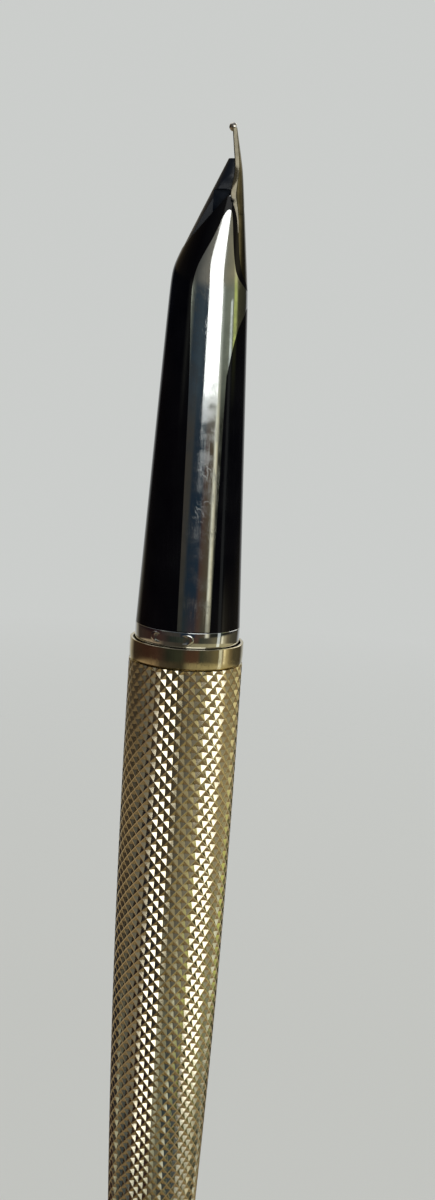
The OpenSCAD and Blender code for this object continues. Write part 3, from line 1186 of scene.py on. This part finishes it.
@dataclass
class EngravedBarrel:
    """Gilt barrel covered with engraving, its smooth band, finial and inner plug, in millimetres."""

    palette: Palette
    radius: float = 5.2
    length: float = 71.5
    wall: float = 0.58
    band: float = 1.95
    mouth: float = 4.9
    curve: float = 0.00044
    straight: float = 10.0
    around: int = 30
    pitch: float = 1.18
    depth: float = 0.235
    rise: tuple = (0.0, 0.045, 0.50, 0.54, 0.955)
    fall: tuple = (0.0, 0.045, 0.40, 0.44, 0.955)
    crease: float = 22
    gap: float = 0.03

    def outer(self, z: float) -> float:
        """Radius over the ridges at a height."""
        return self.radius - self.curve * max(0.0, -z - self.straight) ** 2

    def height(self, m: int, n: int) -> float:
        """Height of a grid point, 1 on the ridges between the cuts and 0 at the bottom of a cut."""
        return 0.0 if m in (2, 3) and n in (2, 3) else 1.0

    def build_sleeve(self) -> bpy.types.Object:
        """The engraved tube, as real relief.

        Two families of fine helical ridges cross and leave four-sided cuts between them. Across one
        family a point's place is a, across the other b, and a whole number of either is on a ridge.

        Returns:
            The sleeve.
        """
        k = len(self.rise)
        top, bottom = -self.band - self.gap, -self.length
        rows = range(int(2 * k * bottom / self.pitch) - 3 * k, int(2 * k * top / self.pitch) + 3 * k)
        period = 2 * k * self.around

        def warp(step: int, stops: tuple) -> float:
            """Place of a grid line, in whole cells and a share."""
            return step // k + stops[step % k]

        index, vertices, heights = {}, [], []
        for p in rows:
            for q in range(p % 2, period, 2):
                m, n = (q + p) // 2, (q - p) // 2
                a, b = warp(m, self.rise), warp(n, self.fall)
                angle = math.pi * (a + b) / self.around
                z = (a - b) / 2 * self.pitch
                height = self.height(m % k, n % k)
                r = self.outer(z) - self.depth * (1 - height)
                index[p, q] = len(vertices)
                vertices.append((r * math.cos(angle), r * math.sin(angle), z))
                heights.append(height)
        faces = []
        for p in rows[1:-1]:
            for q in range((p + 1) % 2, period, 2):
                left, right = index[p, (q - 1) % period], index[p, (q + 1) % period]
                up, down = index[p + 1, q], index[p - 1, q]
                across, along = abs(heights[left] - heights[right]), abs(heights[up] - heights[down])
                if across > along:
                    faces += [(left, up, right), (left, right, down)]
                elif along > across:
                    faces += [(left, up, down), (up, right, down)]
                else:
                    faces.append((left, up, right, down))
        mesh = bpy.data.meshes.new("engraved_sleeve")
        mesh.from_pydata([tuple(c * MM for c in v) for v in vertices], [], faces)
        mesh.attributes.new("height", "FLOAT", "POINT").data.foreach_set("value", heights)
        sleeve = bpy.data.objects.new("engraved_sleeve", mesh)
        bpy.context.scene.collection.objects.link(sleeve)
        self.close(sleeve, top, bottom)
        return sleeve

    def close(self, sleeve: bpy.types.Object, top: float, bottom: float) -> None:
        """Trims the sleeve's ends square and gives it a wall and a bore.

        Args:
            sleeve: the open outer surface.
            top: height of its front end.
            bottom: height of its rear end.
        """
        work = bmesh.new()
        work.from_mesh(sleeve.data)
        for z, sign in ((top, 1), (bottom, -1)):
            bmesh.ops.bisect_plane(work, geom=work.verts[:] + work.edges[:] + work.faces[:], dist=1e-8,
                                   plane_co=(0, 0, z * MM), plane_no=(0, 0, sign), clear_outer=True)
        loose = [v for v in work.verts if not v.link_faces]
        bmesh.ops.delete(work, geom=loose, context="VERTS")

        def rim(z: float) -> list[bmesh.types.BMEdge]:
            """Open edges at a height."""
            return [e for e in work.edges if e.is_boundary
                    and all(abs(v.co.z - z * MM) < 1e-6 for v in e.verts)]

        edges = rim(top)
        for z in (top, *np.linspace(top - 1, bottom + 1, 9)):
            grown = bmesh.ops.extrude_edge_only(work, edges=edges)["geom"]
            edges = [g for g in grown if isinstance(g, bmesh.types.BMEdge)]
            for vertex in [g for g in grown if isinstance(g, bmesh.types.BMVert)]:
                flat = Vector((vertex.co.x, vertex.co.y, 0)).normalized() * (self.outer(z) - self.wall) * MM
                vertex.co = (flat.x, flat.y, z * MM)
        bmesh.ops.bridge_loops(work, edges=edges + rim(bottom))
        bmesh.ops.recalc_face_normals(work, faces=work.faces)
        for face in work.faces:
            face.smooth = True
        work.to_mesh(sleeve.data)
        work.free()
        sleeve.data.set_sharp_from_angle(angle=math.radians(self.crease))
        flat_sides(sleeve)

    def build(self) -> None:
        """Builds the barrel."""
        self.palette.fit(self.build_sleeve(), Slot.ENGRAVED, Body.BARREL, "barrel_tube")
        self.build_band()
        self.build_tail()

    def build_band(self) -> None:
        """The smooth band round the mouth, with a fillet down to the engraving."""
        r, mouth = self.radius, self.mouth
        fillet = [(r - 0.2 * math.sin(a), -self.band + 0.02 + 0.22 * (1 - math.sin(a)) * 0.9)
                  for a in np.linspace(0.15, math.pi / 2, 5)]
        outline = rounded(((mouth, -0.05), (mouth + 0.05, 0.0), (r - 0.05, 0.0), (r, -0.05)), 0.02, 2)
        outline += [(r, -0.6), (r, -1.2), *fillet, (mouth, -self.band)]
        band = turned("mouth_band", outline, 192, crease=40)
        self.palette.fit(band, Slot.GILT, Body.BARREL, "barrel_ring")

    def build_tail(self) -> None:
        """Domed finial with a turned groove, and the plug that holds it."""
        r, z = self.outer(-self.length), -self.length - 0.02
        dome = [(r * math.cos(a), z - 0.5 - 1.5 * math.sin(a)) for a in np.linspace(0.2, math.pi / 2, 9)]
        outline = [(0.0, z), (r - 0.03, z), (r, z - 0.03), (r, z - 0.28), (r - 0.1, z - 0.33),
                   (r - 0.1, z - 0.42), (r, z - 0.47), *dome]
        finial = turned("tail_finial", outline, 128, crease=36)
        self.palette.fit(finial, Slot.GILT, Body.BARREL, "barrel_end")
        self.palette.dress_nodes({"tail_plug": Slot.BRASS})


@dataclass
class Thread:
    """A helical thread's form, in millimetres."""

    root: float
    crest: float
    pitch: float
    low: float
    high: float
    run_out: float = 0.3
    flank: float = 4.2

    def shape(self, radius: float, z: float, angle: float) -> float:
        """Radius with the thread on it, where the plain radius is the root's.

        Args:
            radius: the plain radius.
            z: the place along the axis.
            angle: the place round it in radians.

        Returns:
            The radius.
        """
        if abs(radius - self.root) > 1e-6 or not self.low < z < self.high:
            return radius
        turn = (z / self.pitch - angle / (2 * math.pi)) % 1.0
        tooth = min(1.0, max(0.0, 1.6 - abs(turn - 0.5) * self.flank))
        fade = min(1.0, (z - self.low) / self.run_out, (self.high - z) / self.run_out)
        return radius + (self.crest - self.root) * tooth * fade


@dataclass
class SectionCore:
    """The threads of section and barrel, and what the section holds, in millimetres."""

    palette: Palette
    male: Thread = field(default_factory=lambda: Thread(3.75, 4.1, 1.0, -10.2, -3.4))
    female: Thread = field(default_factory=lambda: Thread(4.38, 4.16, 1.0, -12.4, -3.6))

    def build(self) -> None:
        """Builds the core."""
        steps = [(self.male.root, float(z)) for z in np.linspace(-3.2, -10.4, 90)]
        outline = [(3.38, 6.6), (2.0, 6.6), (2.0, 10.05), (3.72, 10.05), (3.75, 10.0), *steps,
                   (3.75, -10.9), (3.65, -11.0), (3.45, -11.0), (3.38, -10.9)]
        liner = turned("threaded_liner", outline, 96, self.male.shape, 40)
        self.palette.fit(liner, Slot.LINER, Body.GRIP, "section_liner")
        self.palette.dress_nodes({"nipple": Slot.LINER, "section_gasket": Slot.SEAL,
                                  "thread_seal": Slot.SEAL, "collector": Slot.FEED, "ink_rod": Slot.WICK})
        inside = [(self.female.root, float(z)) for z in np.linspace(-12.6, -3.5, 110)]
        outline = [(4.6, -2.25), (4.6, -12.95), (4.55, -13.0), (4.42, -13.0), (4.38, -12.9), *inside,
                   (4.45, -3.4), (4.45, -2.25), (4.5, -2.2), (4.56, -2.2)]
        socket = turned("brass_liner", outline, 96, self.female.shape, 40)
        self.palette.fit(socket, Slot.BRASS, Body.CARRIER, "barrel_liner")


@dataclass
class TwistConverter:
    """The filler: clear tube, ferrule, knob, screw and piston, in millimetres."""

    palette: Palette
    flutes: int = 24
    flute_depth: float = 0.16
    flute_low: float = -60.1
    flute_high: float = -51.3
    flute_fade: float = 0.5
    grip_radius: float = 2.7
    screw: Thread = field(default_factory=lambda: Thread(0.62, 0.77, 3.0, -48.2, -28.8))

    def fluted(self, radius: float, z: float, angle: float) -> float:
        """Radius of the knob with its flutes, which are only on its grip.

        Args:
            radius: the plain radius.
            z: the place along the axis.
            angle: the place round it in radians.

        Returns:
            The radius.
        """
        if radius < self.grip_radius or not self.flute_low < z < self.flute_high:
            return radius
        fade = min(1.0, (z - self.flute_low) / self.flute_fade, (self.flute_high - z) / self.flute_fade)
        return radius - self.flute_depth * fade * (0.5 + 0.5 * math.cos(self.flutes * angle)) ** 2

    def build(self) -> None:
        """Builds the converter."""
        self.build_body()
        self.build_knob()
        self.build_screw()
        self.palette.dress_nodes({"converter_socket": Slot.CONVERTER, "converter_collar": Slot.CONVERTER,
                                  "agitator_ball": Slot.STEEL, "piston_rod": Slot.CONVERTER,
                                  "piston_head": Slot.CONVERTER, "piston_seals": Slot.SEAL})

    def build_body(self) -> None:
        """The clear tube and the ferrule over its rear end."""
        outline = rounded(((3.25, -1.52), (2.8, -1.52), (2.8, -42), (3.25, -42)), 0.08)
        tube = turned("clear_barrel", outline, 96)
        self.palette.fit(tube, Slot.CLEAR, Body.CONVERTER, "converter_tube")
        beads = [(3.6, -30.6), (3.6, -31.0), (3.5, -31.1), (3.5, -31.3), (3.6, -31.4), (3.6, -32.0)]
        outline = [(3.27, -30.05), (3.3, -30.0), (3.5, -30.0), (3.58, -30.1), *beads, (3.6, -44.5),
                   (3.5, -44.6), (3.5, -44.8), (3.6, -44.9), (3.6, -45.9), (3.52, -46.0), (3.27, -46.0)]
        ferrule = turned("steel_ferrule", outline, 128)
        self.palette.fit(ferrule, Slot.STEEL, Body.CONVERTER, "converter_ferrule")

    def build_knob(self) -> None:
        """The fluted knob."""
        grip = [(2.9, float(z)) for z in np.linspace(-51.0, -60.3, 40)]
        outline = [(0.0, -53.4), (1.02, -53.4), (1.02, -50.45), (2.6, -50.45), (2.75, -50.5),
                   (2.75, -50.9), *grip, (2.9, -60.6), (2.7, -60.9), (2.3, -61.0), (1.6, -60.95),
                   (1.4, -60.7), (0.0, -60.65)]
        knob = turned("fluted_knob", outline, 240, self.fluted, 40)
        self.palette.fit(knob, Slot.CONVERTER, Body.KNOB, "converter_knob")

    def build_screw(self) -> None:
        """The lead screw with its steep thread."""
        steps = [(self.screw.root, float(z)) for z in np.linspace(-28.7, -48.4, 160)]
        outline = [(0.0, -28.62), (0.5, -28.62), *steps, (1.0, -48.5), (1.0, -53.35), (0.0, -53.35)]
        shaft = turned("lead_screw_shaft", outline, 48, self.screw.shape, 40)
        self.palette.fit(shaft, Slot.STEEL, Body.KNOB, "lead_screw")


# ------------------------------------------------------------------------------------------ studio


@dataclass(frozen=True)
class Softbox:
    """A soft light that looks at the pen, placed by its direction from it."""

    name: str
    azimuth: float
    elevation: float
    distance: float
    size: tuple[float, float]
    radiance: float
    colour: Colour

    def build(self, target: Vector) -> None:
        """Makes the light; azimuth 0 is the camera's side and positive is to its right.

        Args:
            target: what it looks at.
        """
        data = bpy.data.lights.new(self.name, "AREA")
        data.shape = "RECTANGLE"
        data.size, data.size_y = self.size
        data.energy = self.radiance * math.pi * self.size[0] * self.size[1]
        data.color = self.colour
        light = bpy.data.objects.new(self.name, data)
        bpy.context.scene.collection.objects.link(light)
        az, el = math.radians(self.azimuth), math.radians(self.elevation)
        away = Vector((math.sin(az) * math.cos(el), -math.cos(az) * math.cos(el), math.sin(el)))
        light.location = target + away * self.distance
        light.rotation_euler = (-away).to_track_quat("-Z", "Y").to_euler()


@dataclass(frozen=True)
class Studio:
    """Camera, soft lights, surroundings and pale floor, in metres.

    The rooms are what the pen mirrors in front of it: stops of azimuth in degrees and colour, for
    bands of elevation from the lowest up. room_steps are the heights between which one changes into
    the next.
    """

    lens: float = 45.0
    sensor: float = 36.0
    eye: tuple[float, float, float] = (0.00103, -0.1345, 0.02715)
    forward: tuple[float, float, float] = (0.0112, 0.985, -0.1716)
    up: tuple[float, float, float] = (-0.0643, 0.172, 0.983)
    floor_height: float = -0.165
    floor_radius: float = 0.9
    floor_rings: tuple = (0.1, 0.25, 0.5, 0.75, 1.0)
    floor_fade: Point = (0.35, 0.98)
    floor_tone: Colour = (0.35, 0.36, 0.35)
    floor_glow: float = 0.62
    pale: Colour = (0.60, 0.615, 0.60)
    boxes: tuple = (
        Softbox("window", 22.5, 21.5, 0.6, (0.44, 0.36), 1.9, (1.0, 1.0, 0.97)),
        Softbox("side_strip", 74, -8, 0.6, (0.08, 0.36), 0.6, (0.93, 1.0, 0.95)),
        Softbox("back_fill", 150, 35, 0.8, (0.5, 0.5), 1.2, (1.0, 1.0, 1.0)),
        Softbox("top", -150, 60, 0.8, (0.5, 0.5), 1.0, (1.0, 0.99, 0.97)),
    )
    ground: tuple[Colour, Colour] = ((0.10, 0.075, 0.045), (0.30, 0.225, 0.12))
    ground_steps: Point = (0.42, 0.62)
    overhead: Colour = (0.16, 0.16, 0.16)
    overhead_steps: Point = (0.6, 0.75)
    room_steps: tuple = ((-0.275, -0.255), (-0.13, -0.09), (0.02, 0.06), (0.16, 0.21))
    ridge_room: tuple = (
        (-180, (0.60, 0.60, 0.58)), (-158, (0.50, 0.48, 0.42)), (-140, (0.42, 0.32, 0.19)),
        (-70, (0.34, 0.25, 0.15)), (-52, (0.07, 0.055, 0.04)), (-6, (0.05, 0.045, 0.03)),
        (8, (0.30, 0.26, 0.15)), (60, (0.42, 0.37, 0.20)), (110, (0.50, 0.42, 0.22)),
        (150, (0.5, 0.46, 0.36)), (180, (0.60, 0.60, 0.58)))
    deep_room: tuple = (
        (-180, (0.60, 0.61, 0.60)), (-158, (0.50, 0.51, 0.50)), (-146, (0.34, 0.31, 0.24)),
        (-130, (0.04, 0.028, 0.02)), (-85, (0.045, 0.022, 0.016)), (-62, (0.06, 0.032, 0.024)),
        (-48, (0.045, 0.03, 0.024)), (-36, (0.024, 0.028, 0.022)), (-8, (0.04, 0.045, 0.032)),
        (4, (0.075, 0.04, 0.028)), (24, (0.085, 0.05, 0.034)), (30, (0.05, 0.055, 0.04)),
        (50, (0.10, 0.09, 0.06)), (62, (0.16, 0.14, 0.08)), (80, (0.20, 0.17, 0.10)),
        (84, (1.25, 1.15, 0.80)), (89, (0.55, 0.48, 0.28)), (100, (0.20, 0.16, 0.09)),
        (112, (0.09, 0.08, 0.05)), (142, (0.06, 0.052, 0.035)), (158, (0.5, 0.51, 0.5)))
    low_room: tuple = (
        (-180, (0.60, 0.61, 0.60)), (-158, (0.50, 0.51, 0.50)), (-140, (0.02, 0.016, 0.014)),
        (-85, (0.02, 0.010, 0.010)), (-62, (0.035, 0.018, 0.018)), (-42, (0.055, 0.045, 0.036)),
        (-16, (0.05, 0.047, 0.040)), (-10, (0.015, 0.026, 0.040)), (14, (0.016, 0.029, 0.045)),
        (20, (0.075, 0.045, 0.035)), (38, (0.10, 0.08, 0.05)), (42, (0.95, 0.92, 0.72)),
        (46, (0.80, 0.74, 0.52)), (51, (0.03, 0.03, 0.022)), (76, (0.02, 0.02, 0.016)),
        (80, (0.05, 0.065, 0.05)), (86, (0.02, 0.02, 0.016)), (142, (0.02, 0.02, 0.02)),
        (158, (0.5, 0.51, 0.5)))
    high_room: tuple = (
        (-180, (0.60, 0.61, 0.60)), (-158, (0.50, 0.51, 0.50)), (-142, (0.012, 0.014, 0.02)),
        (-62, (0.014, 0.016, 0.022)), (-52, (0.55, 0.57, 0.47)), (-46, (0.14, 0.15, 0.12)),
        (-36, (0.03, 0.045, 0.06)), (-10, (0.05, 0.07, 0.085)), (2, (0.035, 0.05, 0.065)),
        (6, (0.45, 0.48, 0.46)), (44, (0.50, 0.53, 0.46)), (52, (0.20, 0.22, 0.17)),
        (80, (0.22, 0.23, 0.17)), (86, (0.60, 0.66, 0.18)), (92, (0.50, 0.54, 0.20)),
        (98, (0.06, 0.055, 0.03)), (142, (0.03, 0.03, 0.02)), (158, (0.5, 0.51, 0.5)),
        (180, (0.60, 0.61, 0.60)))
    facet_room: tuple = (
        (-180, (0.60, 0.60, 0.58)), (-158, (0.50, 0.46, 0.36)), (-142, (0.20, 0.15, 0.09)),
        (-110, (0.09, 0.07, 0.045)), (-62, (0.04, 0.032, 0.024)), (-36, (0.10, 0.10, 0.09)),
        (-12, (0.20, 0.19, 0.16)), (4, (0.22, 0.20, 0.16)), (44, (0.26, 0.25, 0.20)),
        (56, (0.26, 0.24, 0.17)), (80, (0.30, 0.27, 0.17)), (90, (0.75, 0.68, 0.40)),
        (112, (0.36, 0.30, 0.16)), (140, (0.48, 0.42, 0.27)), (160, (0.6, 0.58, 0.5)),
        (180, (0.60, 0.60, 0.58)))

    def camera(self) -> None:
        """Places the camera."""
        data = bpy.data.cameras.new("camera")
        data.lens = self.lens
        data.sensor_width = self.sensor
        data.clip_start = 0.005
        data.dof.use_dof = False
        camera = bpy.data.objects.new("camera", data)
        bpy.context.scene.collection.objects.link(camera)
        forward = Vector(self.forward).normalized()
        right = forward.cross(Vector(self.up)).normalized()
        up = right.cross(forward)
        turn = Matrix((right, up, -forward)).transposed()
        camera.matrix_world = Matrix.Translation(self.eye) @ turn.to_4x4()
        bpy.context.scene.camera = camera

    def surroundings(self) -> None:
        """Makes the world: plain and pale where the camera sees it, a furnished room in the metal."""
        world = bpy.data.worlds.new("studio")
        bpy.context.scene.world = world
        world.use_nodes = True
        maker = NodeMaker(world.node_tree)
        there = maker.node("ShaderNodeTexCoord").outputs["Generated"]
        split = maker.node("ShaderNodeSeparateXYZ", None, {0: there})
        x, y, z = (Value(maker, split.outputs[i]) for i in range(3))
        turn = maker.value("ShaderNodeMath", {"operation": "ARCTAN2"}, {0: x, 1: y * -1.0})
        share = turn / (2 * math.pi) + 0.5
        front, *above = [
            maker.node("ShaderNodeValToRGB", {"stops": tuple((a / 360 + 0.5, c) for a, c in room)},
                       {"Fac": share}).outputs[0]
            for room in (self.ridge_room, self.deep_room, self.low_room, self.high_room, self.facet_room)]
        for steps, room in zip(self.room_steps, above):
            front = maker.mix(z.step(*steps), front, room)
        ground = maker.mix((x * 0.5 + 0.5).clipped(), *self.ground)
        below = maker.mix((z * -1.0).step(*self.ground_steps), front, ground)
        mirrored = maker.mix(z.step(*self.overhead_steps), below, self.overhead)
        eye = maker.value("ShaderNodeLightPath", None, None, "Is Camera Ray")
        shown = maker.mix(eye, mirrored, self.pale)
        light = maker.node("ShaderNodeBackground", None, {"Color": shown, "Strength": 1.0})
        maker.node("ShaderNodeOutputWorld", None, {"Surface": light.outputs[0]})

    def floor(self) -> None:
        """A pale round floor that fades out at its rim."""
        sides = 96
        rings = [self.floor_radius * share for share in self.floor_rings]
        vertices = [(0.0, 0.0, self.floor_height)]
        for r in rings:
            vertices += [(r * math.cos(2 * math.pi * s / sides), r * math.sin(2 * math.pi * s / sides),
                          self.floor_height) for s in range(sides)]
        faces = [(0, 1 + s, 1 + (s + 1) % sides) for s in range(sides)]
        for i in range(len(rings) - 1):
            faces += [(1 + i * sides + s, 1 + (i + 1) * sides + s, 1 + (i + 1) * sides + (s + 1) % sides,
                       1 + i * sides + (s + 1) % sides) for s in range(sides)]
        mesh = bpy.data.meshes.new("floor")
        mesh.from_pydata(vertices, [], faces)
        floor = bpy.data.objects.new("floor", mesh)
        bpy.context.scene.collection.objects.link(floor)
        made = bpy.data.materials.new("pale_floor")
        made.use_nodes = True
        maker = NodeMaker(made.node_tree)
        there = maker.node("ShaderNodeTexCoord").outputs["Object"]
        reach = maker.value("ShaderNodeVectorMath", {"operation": "LENGTH"}, {0: there}, "Value")
        solid = 1 - reach.step(*(self.floor_radius * share for share in self.floor_fade))
        shader = maker.node("ShaderNodeBsdfPrincipled", None, {
            "Base Color": self.floor_tone, "Roughness": 0.9, "Alpha": solid,
            "Emission Color": self.pale, "Emission Strength": self.floor_glow})
        maker.node("ShaderNodeOutputMaterial", None, {"Surface": shader.outputs[0]})
        mesh.materials.append(made)
        floor.visible_glossy = False

    def build(self) -> None:
        """Sets the studio up round the pen."""
        self.camera()
        self.surroundings()
        self.floor()
        for box in self.boxes:
            box.build(Vector())
        view = bpy.context.scene.view_settings
        view.view_transform = "Standard"
        view.look = "None"
        view.exposure = 0.0


def main() -> None:
    """Builds the studio and the pen's sub-assemblies in order."""
    logging.basicConfig(level=logging.INFO, format="%(name)s %(message)s")
    Studio().build()
    palette = Palette()
    section = GripSection(palette)
    section.build()
    InlaidNib(palette, section.nib()).build()
    CapClutch(palette).build()
    EngravedBarrel(palette).build()
    SectionCore(palette).build()
    TwistConverter(palette).build()


if __name__ == "__main__":
    main()
